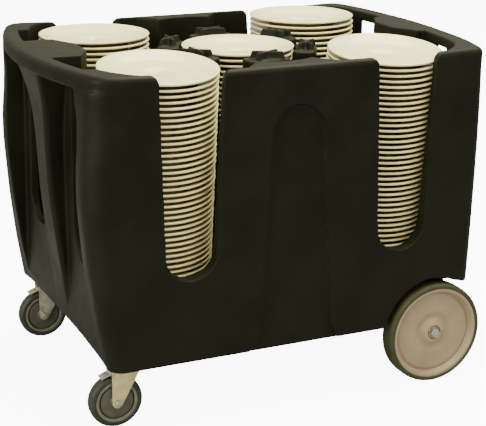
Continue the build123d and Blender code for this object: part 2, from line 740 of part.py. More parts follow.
# ---- Dividers ----------------------------------------------------------------------------
for number, turn in enumerate(divider_turns):
    with BuildPart() as divider:
        with BuildSketch(Plane.XY.offset(floor_height + axial_gap)):
            with Locations((divider_middle - 4, 0)):
                RectangleRounded(divider_back - divider_ring + 8, divider_length, divider_end_radius)
            Circle(divider_ring, mode=Mode.SUBTRACT)
        extrude(amount=divider_shoulder - floor_height - axial_gap)
        fillet(divider.faces().sort_by(Axis.Z)[-1].edges(), 5)
        with Locations((divider_middle, -peg_spacing / 2, floor_height + 1),
                       (divider_middle, peg_spacing / 2, floor_height + 1)):
            Cylinder(peg_radius, peg_length + 1, align=(Align.CENTER, Align.CENTER, Align.MAX))
        # the crest: two crossed finger ridges
        for cross in (90 - crest_cross, 90 + crest_cross):
            with BuildSketch(Plane.XY.offset(divider_shoulder - 1)):
                with Locations(Location((divider_middle, 0, 0), (0, 0, cross))):
                    SlotOverall(crest_length, crest_width)
            extrude(amount=crest_height + 1, taper=crest_taper)
    with BuildPart() as placed:
        with Locations(Location((centre_x, 0, 0), (0, 0, turn))):
            add(divider.part)
    save(placed, "divider_" + str(number + 1))


# ---- Plates ------------------------------------------------------------------------------
def plate_stack(count, shift, place):
    # one solid for a stack, grooved between every two rims; shift moves the top sideways
    step_out = shift / (count - 1)
    height = plate_height + (count - 1) * plate_pitch
    with BuildPart() as stack:
        with BuildSketch(Plane.XZ):
            with BuildLine():
                Polyline((0, seat_gap), (plate_foot_radius, seat_gap),
                         (plate_foot_radius, plate_foot_height),
                         (plate_radius, plate_height - plate_edge), (plate_radius, plate_height),
                         (0, plate_height), close=True)
            make_face()
        revolve(axis=Axis.Z)
        with BuildSketch(Plane.XZ):
            # one plate's rim over the plate below
            with BuildLine():
                Polyline((0, 0), (plate_radius - plate_groove, 0),
                         (plate_radius, plate_pitch - plate_edge), (plate_radius, plate_pitch),
                         (0, plate_pitch), close=True)
            make_face()
        rim = revolve(axis=Axis.Z, mode=Mode.PRIVATE)
        with Locations(*[(0, number * step_out, plate_height + (number - 1) * plate_pitch)
                         for number in range(1, count)]):
            add(rim)
        with BuildSketch(Plane.XZ.offset(-shift)):
            with BuildLine():
                rim_inner = plate_radius - plate_edge
                dish_z = height - plate_dish_depth
                dish = Spline((rim_inner, height), (plate_dish_radius + 12, height - 6),
                              (plate_dish_radius - 6, dish_z + 2), (plate_dish_radius - 18, dish_z))
                Polyline(dish @ 1, (0, dish_z), (0, height + 1), (rim_inner, height + 1), dish @ 0)
            make_face()
        revolve(axis=Axis((0, shift, 0), (0, 0, 1)), mode=Mode.SUBTRACT)
    with BuildPart() as placed:
        with Locations(place):
            add(stack.part)
    return placed


caster_row = well_shift - well_dx
wheel_row = well_shift + well_dx
far_caster = Location((caster_row, far_foot_y, seat_top))
far_wheel = Location((wheel_row, far_foot_y, seat_top))
middle = Location((centre_x, 0, seat_top + centre_seat_lift))
save(plate_stack(corner_count, 0, near_feet[0]), "plates_near_caster")
save(plate_stack(corner_count, 0, near_feet[1]), "plates_near_wheel")
save(plate_stack(corner_count, far_stagger, far_caster), "plates_far_caster")
save(plate_stack(tall_count, far_stagger, far_wheel), "plates_far_wheel")
save(plate_stack(centre_count, 0, middle), "plates_middle")
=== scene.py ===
import json
import math

import bmesh
import bpy
import numpy as np
from mathutils import Matrix, Vector


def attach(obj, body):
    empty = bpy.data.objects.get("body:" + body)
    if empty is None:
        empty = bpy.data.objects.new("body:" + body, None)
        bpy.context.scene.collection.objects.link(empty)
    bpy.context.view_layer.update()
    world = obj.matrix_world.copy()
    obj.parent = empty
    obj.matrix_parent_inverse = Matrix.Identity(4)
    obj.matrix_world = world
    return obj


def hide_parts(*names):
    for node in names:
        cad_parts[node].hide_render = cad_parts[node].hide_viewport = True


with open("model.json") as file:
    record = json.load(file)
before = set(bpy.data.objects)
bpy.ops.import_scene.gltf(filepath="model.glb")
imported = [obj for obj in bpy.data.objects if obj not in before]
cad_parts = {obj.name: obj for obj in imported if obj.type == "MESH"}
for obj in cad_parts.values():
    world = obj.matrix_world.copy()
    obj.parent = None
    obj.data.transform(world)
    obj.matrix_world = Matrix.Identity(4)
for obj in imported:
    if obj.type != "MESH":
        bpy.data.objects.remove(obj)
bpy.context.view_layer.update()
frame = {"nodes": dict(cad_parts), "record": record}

print("frame loaded")


class Wire:
    # an output socket in an expression; each operator adds a Math node
    def __init__(self, shader, socket):
        self.shader = shader
        self.socket = socket

    def __add__(self, other):
        return self.shader.maths("ADD", self, other)

    def __radd__(self, other):
        return self.shader.maths("ADD", other, self)

    def __sub__(self, other):
        return self.shader.maths("SUBTRACT", self, other)

    def __rsub__(self, other):
        return self.shader.maths("SUBTRACT", other, self)

    def __mul__(self, other):
        return self.shader.maths("MULTIPLY", self, other)

    def __rmul__(self, other):
        return self.shader.maths("MULTIPLY", other, self)


class Shader:
    # one material and the nodes that make it
    def __init__(self, name):
        self.material = bpy.data.materials.new(name)
        self.material.use_nodes = True
        self.tree = self.material.node_tree
        self.tree.nodes.clear()
        self.out = self.tree.nodes.new("ShaderNodeOutputMaterial")
        self.surface = self.tree.nodes.new("ShaderNodeBsdfPrincipled")
        self.tree.links.new(self.surface.outputs[0], self.out.inputs["Surface"])
        self.place = self.node("ShaderNodeTexCoord", output="Object")

    def node(self, kind, inputs=None, output=0, **settings):
        made = self.tree.nodes.new(kind)
        for name, value in settings.items():
            setattr(made, name, value)
        for name, value in (inputs or {}).items():
            self.feed(made.inputs[name], value)
        return Wire(self, made.outputs[output])

    def feed(self, socket, value):
        if isinstance(value, Wire):
            self.tree.links.new(value.socket, socket)
        else:
            socket.default_value = value

    def maths(self, operation, first, second):
        return self.node("ShaderNodeMath", {0: first, 1: second}, operation=operation)

    def noise(self, scale, detail=2.0, roughness=0.5, stretch=None):
        where = self.place
        if stretch:
            where = self.node("ShaderNodeVectorMath", {0: where, 1: stretch}, operation="MULTIPLY")
        return self.node("ShaderNodeTexNoise", {"Vector": where, "Scale": scale, "Detail": detail,
                                                "Roughness": roughness})

    def ramp(self, value, low, high, start=0.0, end=1.0):
        return self.node("ShaderNodeMapRange", {"Value": value, "From Min": low, "From Max": high,
                                                "To Min": start, "To Max": end},
                         interpolation_type="SMOOTHSTEP")

    def mix(self, factor, first, second):
        return self.node("ShaderNodeMix", {0: factor, 6: first, 7: second}, output=2,
                         data_type="RGBA")

    def bump(self, height, distance, under=None):
        inputs = {"Height": height, "Distance": distance, "Strength": 1.0}
        if under:
            inputs["Normal"] = under
        return self.node("ShaderNodeBump", inputs)

    def axis(self, name, vector):
        return self.node("ShaderNodeSeparateXYZ", {0: vector}, output=name)

    def finish(self, **inputs):
        for name, value in inputs.items():
            self.feed(self.surface.inputs[name.replace("_", " ")], value)
        return self.material


def colour(red, green, blue):
    return (red, green, blue, 1.0)


def mouldedPlastic(name, look):
    # dark olive moulding: soft patches, dust on what faces up, pale scuffs, a pebbled skin
    s = Shader(name)
    facing = s.axis("Z", s.node("ShaderNodeNewGeometry", output="Normal"))
    patches = s.noise(look["patchScale"], detail=3.0, roughness=0.6)
    grain = s.noise(look["grainScale"], detail=3.0, roughness=0.6)
    scuffs = s.noise(look["scuffScale"], detail=6.0, roughness=0.75, stretch=look["scuffStretch"])
    base = s.mix(s.ramp(patches, 0.35, 0.65), look["dark"], look["light"])
    dust = s.ramp(facing, 0.3, 0.95, 0.0, look["dust"]) * s.ramp(scuffs, 0.3, 0.7, 0.6, 1.0)
    base = s.mix(dust, base, look["dustColour"])
    marks = s.ramp(scuffs, 0.64, 0.74, 0.0, look["scuffs"])
    base = s.mix(marks, base, look["dustColour"])
    rough = (look["roughness"] + s.ramp(patches, 0.3, 0.7, -0.04, 0.05)
             + marks * look["scuffRough"] + dust * look["dustRough"])
    wave = s.bump(s.noise(look["waveScale"]), look["wave"])
    pebble = s.bump(grain, look["pebble"], under=wave)
    return s.finish(Base_Color=base, Roughness=rough, Normal=pebble, IOR=look["ior"],
                    Specular_IOR_Level=look["specular"])


tubLook = {
    "dark": colour(0.0068, 0.0078, 0.0046), "light": colour(0.0092, 0.0105, 0.0062),
    "dust": 0.16, "dustColour": colour(0.022, 0.021, 0.0135), "dustRough": 0.15,
    "scuffs": 0.10, "scuffRough": 0.25, "roughness": 0.46, "specular": 0.12, "ior": 1.5,
    "patchScale": 9.0, "grainScale": 700.0, "pebble": 0.00016, "waveScale": 16.0, "wave": 0.0016,
    "scuffScale": 55.0, "scuffStretch": (1.0, 1.0, 0.25),
}
tubPlastic = mouldedPlastic("tubPlastic", tubLook)
dividerPlastic = mouldedPlastic("dividerPlastic", {
    **tubLook, "dust": 0.18, "scuffs": 0.15, "dustColour": colour(0.048, 0.044, 0.028)})


def glazedChina(name, look):
    # each plate has its own tone, and painted shade behind the rims, where the plates of a stack
    # shadow each other
    s = Shader(name)
    tone = s.node("ShaderNodeAttribute", attribute_name="plateTone", output="Fac")
    blotch = s.noise(look["blotchScale"])
    mixed = tone * look["toneShare"] + blotch * (1 - look["toneShare"])
    base = s.mix(s.ramp(mixed, 0.1, 0.9), look["warm"], look["pale"])
    speck = s.ramp(s.noise(look["speckScale"]), 0.70, 0.76, 0.0, look["specks"])
    base = s.mix(speck, base, look["speck"])
    grime = s.node("ShaderNodeAttribute", attribute_name="grime", output="Fac")
    # painted shade: the china darkens to brown behind each rim, where the plate above shadows it
    base = s.mix(grime * look["paintedShadeAmount"], base, look["grime"])
    smears = s.noise(look["smearScale"], detail=4.0, roughness=0.6)
    rough = look["roughness"] + s.ramp(smears, 0.35, 0.7, 0.0, look["smears"])
    glaze = s.bump(s.noise(look["waveScale"]), look["wave"])
    return s.finish(Base_Color=base, Roughness=rough, Normal=glaze, Coat_Weight=look["coat"],
                    Coat_Roughness=look["coatRoughness"], IOR=look["ior"])


china = glazedChina("china", {
    "warm": colour(0.94, 0.86, 0.43), "pale": colour(0.99, 0.93, 0.54), "toneShare": 0.7,
    "blotchScale": 30.0, "speck": colour(0.60, 0.53, 0.36), "specks": 0.12, "speckScale": 420.0,
    # the brown mixed in behind the rims is painted shade between stacked plates
    "grime": colour(0.42, 0.31, 0.15), "paintedShadeAmount": 0.85, "roughness": 0.14, "smears": 0.08,
    "smearScale": 60.0, "wave": 0.0006, "waveScale": 45.0, "coat": 0.22, "coatRoughness": 0.05,
    "ior": 1.52})


def rubber(name, look):
    s = Shader(name)
    patches = s.noise(look["patchScale"], detail=4.0, roughness=0.6)
    dirt = s.noise(look["dirtScale"], detail=5.0, roughness=0.7)
    base = s.mix(s.ramp(patches, 0.3, 0.7), look["dark"], look["light"])
    base = s.mix(s.ramp(dirt, 0.55, 0.75, 0.0, look["dust"]), base, look["dustColour"])
    rough = look["roughness"] + s.ramp(dirt, 0.4, 0.7, -0.05, 0.1)
    skin = s.noise(look["skinScale"], roughness=0.6)
    uneven = s.bump(patches, look["uneven"])
    return s.finish(Base_Color=base, Roughness=rough, Specular_IOR_Level=look["specular"],
                    Normal=s.bump(skin, look["skin"], under=uneven))


rubberLook = {"dirtScale": 140.0, "skinScale": 1400.0, "skin": 0.0001, "uneven": 0.0004,
              "specular": 0.4}
tyreRubber = rubber("tyreRubber", {
    **rubberLook, "dark": colour(0.031, 0.035, 0.013), "light": colour(0.045, 0.050, 0.020),
    "patchScale": 22.0, "dust": 0.22, "dustColour": colour(0.11, 0.105, 0.055),
    "roughness": 0.62})
treadRubber = rubber("treadRubber", {
    **rubberLook, "dark": colour(0.021, 0.025, 0.021), "light": colour(0.035, 0.039, 0.032),
    "patchScale": 40.0, "dust": 0.30, "dustColour": colour(0.11, 0.11, 0.09),
    "roughness": 0.55})
ringRubber = rubber("ringRubber", {
    **rubberLook, "dark": colour(0.14, 0.14, 0.115), "light": colour(0.19, 0.19, 0.155),
    "patchScale": 40.0, "dust": 0.30, "dustColour": colour(0.12, 0.11, 0.08),
    "roughness": 0.5})


def hardPlastic(name, look):
    s = Shader(name)
    patches = s.noise(look["patchScale"], detail=3.0, roughness=0.6)
    dirt = s.noise(look["dirtScale"], detail=6.0, roughness=0.7)
    base = s.mix(s.ramp(patches, 0.3, 0.7), look["dark"], look["light"])
    base = s.mix(s.ramp(dirt, 0.56, 0.74, 0.0, look["dirt"]), base, look["dirtColour"])
    rough = look["roughness"] + s.ramp(dirt, 0.4, 0.7, -0.04, 0.08)
    skin = s.noise(look["skinScale"], detail=3.0, roughness=0.6)
    wave = s.bump(s.noise(look["waveScale"]), look["wave"])
    return s.finish(Base_Color=base, Roughness=rough, Specular_IOR_Level=look["specular"],
                    Normal=s.bump(skin, look["skin"], under=wave))


hardLook = {"dirtScale": 90.0, "skinScale": 900.0, "skin": 0.0001, "waveScale": 25.0,
            "wave": 0.0008, "specular": 0.5}
hubPlastic = hardPlastic("hubPlastic", {
    **hardLook, "dark": colour(0.325, 0.252, 0.168), "light": colour(0.375, 0.296, 0.205),
    "patchScale": 14.0, "dirt": 0.25, "dirtColour": colour(0.20, 0.16, 0.10),
    "roughness": 0.42})
corePlastic = hardPlastic("corePlastic", {
    **hardLook, "dark": colour(0.064, 0.064, 0.054), "light": colour(0.090, 0.089, 0.076),
    "patchScale": 40.0, "dirt": 0.35, "dirtColour": colour(0.07, 0.065, 0.05),
    "roughness": 0.45})
bushPlastic = hardPlastic("bushPlastic", {
    **hardLook, "dark": colour(0.30, 0.29, 0.24), "light": colour(0.38, 0.36, 0.30),
    "patchScale": 40.0, "dirt": 0.3, "dirtColour": colour(0.15, 0.14, 0.11),
    "roughness": 0.4})


def metal(name, look):
    s = Shader(name)
    cloud = s.noise(look["cloudScale"], detail=4.0, roughness=0.65)
    fine = s.noise(look["fineScale"], detail=3.0, roughness=0.6, stretch=look["brush"])
    base = s.mix(s.ramp(cloud, 0.3, 0.7), look["dark"], look["light"])
    base = s.mix(s.ramp(fine, 0.62, 0.74, 0.0, look["stain"]), base, look["stainColour"])
    rough = look["roughness"] + s.ramp(cloud, 0.3, 0.7, -0.06, 0.10)
    return s.finish(Base_Color=base, Metallic=look["metallic"], Roughness=rough,
                    Normal=s.bump(fine, look["bump"]))


zincPlate = metal("zincPlate", {
    "dark": colour(0.62, 0.56, 0.27), "light": colour(0.80, 0.73, 0.40), "cloudScale": 55.0,
    "fineScale": 500.0, "brush": (1.0, 1.0, 1.0), "stain": 0.3,
    "stainColour": colour(0.30, 0.27, 0.17), "roughness": 0.42, "metallic": 0.55, "bump": 0.00006})
# darker, stained zinc: real stains on the brake shoes and the far fork, and painted shade on the
# far fork, whose caster stands in shadow
dullAndShadedZinc = metal("dullAndShadedZinc", {
    "dark": colour(0.34, 0.34, 0.29), "light": colour(0.56, 0.56, 0.50), "cloudScale": 60.0,
    "fineScale": 420.0, "brush": (1.0, 1.0, 1.0), "stain": 0.45,
    "stainColour": colour(0.18, 0.17, 0.13), "roughness": 0.45, "metallic": 0.55, "bump": 0.00006})
brightSteel = metal("brightSteel", {
    "dark": colour(0.42, 0.42, 0.38), "light": colour(0.62, 0.61, 0.55), "cloudScale": 90.0,
    "fineScale": 900.0, "brush": (1.0, 0.12, 1.0), "stain": 0.35,
    "stainColour": colour(0.16, 0.14, 0.10), "roughness": 0.30, "metallic": 0.95, "bump": 0.00005})
print("materials made")


def addPiece(name, mesh, material, body, slot, *nodes):
    piece = bpy.data.objects.new(name, mesh)
    bpy.context.scene.collection.objects.link(piece)
    mesh.materials.clear()
    mesh.materials.append(material)
    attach(piece, body)
    if nodes:
        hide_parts(*nodes)
    return piece


def evaluated(source, *steps):
    # the mesh of source after some modifiers, given as (kind, settings)
    worker = bpy.data.objects.new("worker", source)
    bpy.context.scene.collection.objects.link(worker)
    for kind, settings in steps:
        step = worker.modifiers.new(kind, kind)
        for name, value in settings.items():
            setattr(step, name, value)
    bpy.context.view_layer.update()
    graph = bpy.context.evaluated_depsgraph_get()
    made = bpy.data.meshes.new_from_object(worker.evaluated_get(graph), depsgraph=graph)
    bpy.data.objects.remove(worker)
    return made


def pointsOf(mesh):
    points = np.empty(len(mesh.vertices) * 3)
    mesh.vertices.foreach_get("co", points)
    return points.reshape(-1, 3)


def relax(mesh, look, fit=None):
    # evens out a mesh's surface; fit moves its points first
    points = pointsOf(mesh)
    count = len(points)
    links = np.empty(len(mesh.edges) * 2, np.int64)
    mesh.edges.foreach_get("vertices", links)
    starts, ends = links.reshape(-1, 2).T
    share = np.bincount(starts, minlength=count) + np.bincount(ends, minlength=count)
    if fit:
        points = fit(points)
    pull = look["strength"]
    back = -1.04 * pull  # every second step pushes back, so that the form doesn't shrink
    for turn in range(2 * look["rounds"]):
        mean = np.empty_like(points)
        for axis in range(3):
            along = points[:, axis]
            mean[:, axis] = (np.bincount(starts, along[ends], count)
                             + np.bincount(ends, along[starts], count)) / share
        points += (mean - points) * (back if turn % 2 else pull)
    mesh.vertices.foreach_set("co", points.ravel())
    mesh.update()


weldGap = 1e-5  # joins the loose triangles of a CAD node


def softened(node, look, fit=None):
    # a CAD node's form with the rolled edges of a moulding
    source = frame["nodes"][node].data.copy()
    fine = evaluated(source, ("WELD", {"merge_threshold": weldGap}),
                     ("REMESH", {"mode": "VOXEL", "voxel_size": look["voxel"]}))
    relax(fine, look, fit)
    light = evaluated(fine, ("DECIMATE", {"ratio": look["keep"]}))
    light.shade_smooth()
    return light


def crisp(node, width, look):
    # a CAD node's form with its sharp edges broken; the angles are in degrees
    source = frame["nodes"][node].data.copy()
    made = evaluated(source, ("WELD", {"merge_threshold": weldGap}),
                     ("DECIMATE", {"decimate_type": "DISSOLVE",
                                   "angle_limit": math.radians(look["flatAngle"])}),
                     ("BEVEL", {"width": width, "segments": look["segments"],
                                "limit_method": "ANGLE", "harden_normals": False,
                                "angle_limit": math.radians(look["edgeAngle"])}),
                     ("TRIANGULATE", {}))
    made.shade_smooth()
    made.set_sharp_from_angle(angle=math.radians(look["sharpAngle"]))
    return made


def roundedPath(corners, steps=5):
    # corners are (along, radius, corner radius); each corner becomes an arc
    share = 0.49  # of a side, at most, for one corner
    path = []
    for index, (u, v, r) in enumerate(corners):
        here = Vector((u, v))
        if r <= 0 or index in (0, len(corners) - 1):
            path.append((u, v))
            continue
        before = Vector(corners[index - 1][:2]) - here
        after = Vector(corners[index + 1][:2]) - here
        half = before.angle(after) / 2
        reach = min(r / math.tan(half), share * before.length, share * after.length)
        start = here + before.normalized() * reach
        end = here + after.normalized() * reach
        for step in range(steps + 1):
            t = step / steps
            point = (1 - t) ** 2 * start + 2 * t * (1 - t) * here + t * t * end
            path.append((point.x, point.y))
    return path


def lathe(name, path, centre, axis="Y", segments=128):
    # turns a closed path of (along the axis, radius) about an axis through centre
    turns = np.linspace(0, 2 * np.pi, segments, endpoint=False)
    along = np.array([u for u, v in path])
    radius = np.array([v for u, v in path])
    ring = np.stack([np.cos(turns), np.sin(turns)], 1)
    points = np.zeros((len(path), segments, 3))
    order = {"Y": (1, 0, 2), "Z": (2, 0, 1)}[axis]
    points[:, :, order[0]] = along[:, None]
    points[:, :, order[1]] = radius[:, None] * ring[None, :, 0]
    points[:, :, order[2]] = radius[:, None] * ring[None, :, 1]
    points += np.array(centre)
    faces = []
    for row in range(len(path)):
        nextRow = (row + 1) % len(path)
        for turn in range(segments):
            nextTurn = (turn + 1) % segments
            faces.append((row * segments + turn, row * segments + nextTurn,
                          nextRow * segments + nextTurn, nextRow * segments + turn))
    mesh = bpy.data.meshes.new(name)
    mesh.from_pydata(points.reshape(-1, 3).tolist(), [], faces)
    fixNormals(mesh)
    return mesh


def fixNormals(mesh):
    work = bmesh.new()
    work.from_mesh(mesh)
    bmesh.ops.remove_doubles(work, verts=work.verts, dist=1e-6)
    bmesh.ops.recalc_face_normals(work, faces=work.faces)
    work.to_mesh(mesh)
    work.free()
    mesh.shade_smooth()


tubForm = {"voxel": 0.003, "rounds": 6, "strength": 0.5, "keep": 0.122}

# how the moulding departs from the solid, in metres and degrees; the tables go by height,
# and 1 is the fixed wheels' end, -1 the casters'
tubFit = {
    "half": 0.366, "round": 0.060,  # half the width, and the solid's upright corners
    "corner": {1: ((0.162, 0.462), (0.30, 0.468), (0.50, 0.474), (0.786, 0.475), (0.792, 0.477)),
               -1: ((0.162, 0.447), (0.30, 0.4667), (0.40, 0.4795), (0.50, 0.4901),
                    (0.55, 0.4905))},
    "turn": {1: ((0.162, 16.2), (0.824, 17.1)), -1: ((0.162, -2.5), (0.55, -2.5))},
    "squarer": {1: ((0.162, 0.026), (0.824, 0.026)),
                -1: ((0.162, 0.034), (0.30, 0.045), (0.50, 0.060))},
    "cornerFade": (0.030, 0.056),
    "shift": {1: ((0.162, 0.011), (0.30, 0.012), (0.60, 0.012), (0.70, 0.011), (0.786, 0.009),
                  (0.792, 0.007)),
              -1: ((0.162, 0.001), (0.27, 0.005), (0.40, 0.005), (0.55, 0.0015), (0.66, 0.0),
                   (0.74, 0.002), (0.80, 0.0045))},
    "shiftAlong": (0.38, 0.45), "shiftAcross": (0.10, 0.30),
    "rimRise": 0.0040, "rimAlong": (0.30, 0.46), "rimUp": (0.70, 0.80),
    "tailDrop": ((0.37, 0.0), (0.39, 0.004), (0.41, 0.006), (0.42, 0.006), (0.43, 0.008),
                 (0.44, 0.009)),  # this table goes by length
    "tailFrom": (0.20, 0.24), "tailTo": (0.27, 0.36),
    "baseDrop": 0.0045, "baseAcross": (0.28, 0.35), "baseTo": (0.175, 0.24),
}


def eased(value, span):
    low, high = span
    t = np.clip((value - low) / (high - low), 0, 1)
    return t * t * (3 - 2 * t)


def fromTable(value, table):
    return np.interp(value, *zip(*table))


def squareCorner(x, y, z, end, side):
    # tightens an upright corner: points near it slide out to a smaller rounding
    half, rounding = tubFit["half"], tubFit["round"]
    turn = np.radians(fromTable(z, tubFit["turn"][end]))
    spread = (np.pi / 2 - turn) / 2
    # towards the corner, half way between the normals of the two walls
    towards = np.stack([end * np.cos(turn), side * (1 + np.sin(turn))])
    towards /= np.linalg.norm(towards, axis=0)
    reach = rounding / np.cos(spread)
    outX = x - end * fromTable(z, tubFit["corner"][end]) + reach * towards[0]
    outY = y - side * half + reach * towards[1]
    far = np.hypot(outX, outY) + 1e-9
    angle = np.arccos(np.clip((outX * towards[0] + outY * towards[1]) / far, -1, 1))
    small = fromTable(z, tubFit["squarer"][end])
    lift = (rounding - small) / np.cos(spread)
    contact = np.arctan2(small * np.sin(spread), lift + small * np.cos(spread))
    chord = np.maximum(small ** 2 - (lift * np.sin(angle)) ** 2, 0)
    arc = lift * np.cos(angle) + np.sqrt(chord)
    wall = rounding / np.cos(np.maximum(spread - angle, 0))
    gain = np.where(angle < contact, arc, wall) / rounding - 1
    gain *= (angle < spread) * eased(far, tubFit["cornerFade"])
    x += outX * gain
    y += outY * gain


def fitTub(points):
    x, y, z = points.T.copy()
    for end, side in ((1, 1), (1, -1), (-1, 1), (-1, -1)):
        squareCorner(x, y, z, end, side)
    for end in (1, -1):
        push = fromTable(z, tubFit["shift"][end]) * eased(end * x, tubFit["shiftAlong"])
        x += end * push * eased(np.abs(y), tubFit["shiftAcross"])
    z += tubFit["rimRise"] * eased(np.abs(x), tubFit["rimAlong"]) * eased(z, tubFit["rimUp"])
    z -= (fromTable(x, tubFit["tailDrop"]) * eased(z, tubFit["tailFrom"])
          * (1 - eased(z, tubFit["tailTo"])))
    z -= (tubFit["baseDrop"] * eased(np.abs(y), tubFit["baseAcross"])
          * (1 - eased(z, tubFit["baseTo"])))
    return np.stack([x, y, z], 1)


addPiece("tub", softened("body_shell", tubForm, fitTub), tubPlastic, "chassis", "tub_plastic",
         "body_shell")
print("tub made")

dividerForm = {"count": 6, "voxel": 0.0022, "rounds": 7, "strength": 0.5, "keep": 0.12}
for number in range(1, dividerForm["count"] + 1):
    node = "divider_%d" % number
    addPiece("divider%d" % number, softened(node, dividerForm), dividerPlastic, node,
             "divider_plastic", node)
print("dividers made")

plateLook = {
    "radius": 0.1370, "height": 0.027, "pitch": 0.0133, "segments": 88,
    "jitter": 0.0007, "nudgeSeed": 5, "turnSeed": 8, "toneSeed": 12,
    "rimUnshaded": 0.0035, "paintedShadeFade": 0.006,  # in from the rim
    # radius, and the height below which a whole plate gets painted shade
    "faceFloor": ((0.0, 0.006), (0.076, 0.006), (0.096, 0.0085), (0.115, 0.0185),
                  (0.129, 0.0225), (0.137, 0.0245)),
}


def platePath(full):
    # closed section of one plate from the rim down and round; full adds the dish and the foot
    edge = plateLook["radius"]
    top = plateLook["height"]
    upper = [(top - 0.0002, edge - 0.0062, 0), (top, edge - 0.0030, 0.0015),
             (top - 0.0006, edge - 0.0005, 0.0015), (top - 0.0026, edge, 0.0015),
             (top - 0.0048, edge - 0.0008, 0.0015), (top - 0.0057, edge - 0.0040, 0.002),
             (top - 0.0085, edge - 0.0150, 0.004), (top - 0.0140, edge - 0.0300, 0.006)]
    lower = [(0.0042, 0.0865, 0.004), (0.0004, 0.0845, 0.001), (0.0004, 0.0800, 0.001),
             (0.0035, 0.0780, 0.001), (0.0040, 0.0004, 0)]
    dish = [(0.0085, 0.0004, 0), (0.0092, 0.0760, 0.010), (0.0125, 0.0960, 0.014),
            (top - 0.0052, edge - 0.0220, 0.010), (top - 0.0008, edge - 0.0080, 0.003)]
    if full:
        return roundedPath(upper + lower + dish, 3)
    return roundedPath(upper + lower[:2] + [(0.009, 0.0850, 0.001)] + dish[3:], 1)


def plateObject(name, full):
    # grime is 1 behind the rim: painted shade where the plates of a stack shadow each other; the
    # top plate's face stays unshaded
    mesh = lathe(name, platePath(full), (0, 0, 0), "Z", plateLook["segments"])
    points = pointsOf(mesh)
    radius = np.hypot(points[:, 0], points[:, 1])
    inwards = plateLook["radius"] - plateLook["rimUnshaded"] - radius
    # painted shade, fading in from just inside the rim
    grime = np.clip(inwards / plateLook["paintedShadeFade"], 0, 1)
    if full:
        grime *= points[:, 2] < fromTable(radius, plateLook["faceFloor"])
    mesh.attributes.new("grime", "FLOAT", "POINT").data.foreach_set("value", grime)
    return bpy.data.objects.new(name, mesh)


stackedPlate = plateObject("stackedPlate", False)
wholePlate = plateObject("wholePlate", True)


def stackOf(name, material, count, place, lean, step):
    # Geometry Nodes: a row of points, a plate on each, each turned and nudged a little
    tree = bpy.data.node_groups.new(name, "GeometryNodeTree")
    face = tree.interface
    face.new_socket("Geometry", in_out="INPUT", socket_type="NodeSocketGeometry")
    inputs = {"Count": ("Int", count), "Step": ("Vector", step),
              "Nudge": ("Float", plateLook["jitter"]), "Plate": ("Object", stackedPlate),
              "Top plate": ("Object", wholePlate), "Finish": ("Material", material)}
    sockets = {key: face.new_socket(key, in_out="INPUT", socket_type="NodeSocket" + kind)
               for key, (kind, value) in inputs.items()}
    face.new_socket("Geometry", in_out="OUTPUT", socket_type="NodeSocketGeometry")

    def add(kind, links=(), **settings):
        made = tree.nodes.new(kind)
        for key, value in settings.items():
            setattr(made, key, value)
        for key, value in dict(links).items():
            if hasattr(value, "links"):
                tree.links.new(value, made.inputs[key])
            else:
                made.inputs[key].default_value = value
        return made

    def between(low, high, seed):
        return add("FunctionNodeRandomValue", {2: low, 3: high, "ID": index, "Seed": seed},
                   data_type="FLOAT").outputs[1]

    given = add("NodeGroupInput").outputs
    line = add("GeometryNodeMeshLine", {"Count": given["Count"], "Offset": given["Step"]},
               mode="OFFSET")
    points = add("GeometryNodeMeshToPoints", {"Mesh": line.outputs[0]})
    index = add("GeometryNodeInputIndex").outputs[0]
    spread = add("FunctionNodeRandomValue", {"ID": index, "Seed": plateLook["nudgeSeed"]},
                 data_type="FLOAT_VECTOR")
    spread.inputs["Min"].default_value = (-1, -1, 0)
    spread.inputs["Max"].default_value = (1, 1, 0)
    nudge = add("ShaderNodeVectorMath", {0: spread.outputs[0], 3: given["Nudge"]},
                operation="SCALE")
    moved = add("GeometryNodeSetPosition", {"Geometry": points.outputs[0],
                                            "Offset": nudge.outputs[0]})
    turn = add("ShaderNodeCombineXYZ", {"Z": between(0.0, 6.283, plateLook["turnSeed"])})
    last = add("ShaderNodeMath", {0: given["Count"], 1: 1.0}, operation="SUBTRACT")
    isTop = add("FunctionNodeCompare", {"A": index, "B": last.outputs[0]}, data_type="INT",
                operation="GREATER_EQUAL").outputs[0]
    isLow = add("FunctionNodeBooleanMath", {0: isTop}, operation="NOT").outputs[0]
    joined = add("GeometryNodeJoinGeometry")
    for chosen, plate in ((isLow, "Plate"), (isTop, "Top plate")):
        shape = add("GeometryNodeObjectInfo", {"Object": given[plate], "As Instance": True})
        placed = add("GeometryNodeInstanceOnPoints", {
            "Points": moved.outputs[0], "Selection": chosen,
            "Instance": shape.outputs["Geometry"], "Rotation": turn.outputs[0]})
        tree.links.new(placed.outputs[0], joined.inputs[0])
    stored = add("GeometryNodeStoreNamedAttribute", {
        "Geometry": joined.outputs[0], "Name": "plateTone",
        "Value": between(0.0, 1.0, plateLook["toneSeed"])}, data_type="FLOAT", domain="INSTANCE")
    real = add("GeometryNodeRealizeInstances", {0: stored.outputs[0]})
    done = add("GeometryNodeSetMaterial", {"Geometry": real.outputs[0],
                                           "Material": given["Finish"]})
    add("NodeGroupOutput", {0: done.outputs[0]})

    holder = bpy.data.objects.new(name + "Holder", bpy.data.meshes.new(name + "Holder"))
    bpy.context.scene.collection.objects.link(holder)
    grown = holder.modifiers.new("stack", "NODES")
    grown.node_group = tree
    for key, (kind, value) in inputs.items():
        grown[sockets[key].identifier] = value
    bpy.context.view_layer.update()
    graph = bpy.context.evaluated_depsgraph_get()
    mesh = bpy.data.meshes.new_from_object(holder.evaluated_get(graph), depsgraph=graph)
    bpy.data.objects.remove(holder)
    bpy.data.node_groups.remove(tree)
    mesh.transform(Matrix.Translation(place) @ Matrix.Rotation(math.radians(lean), 4, "X"))
    mesh.shade_smooth()
    return mesh


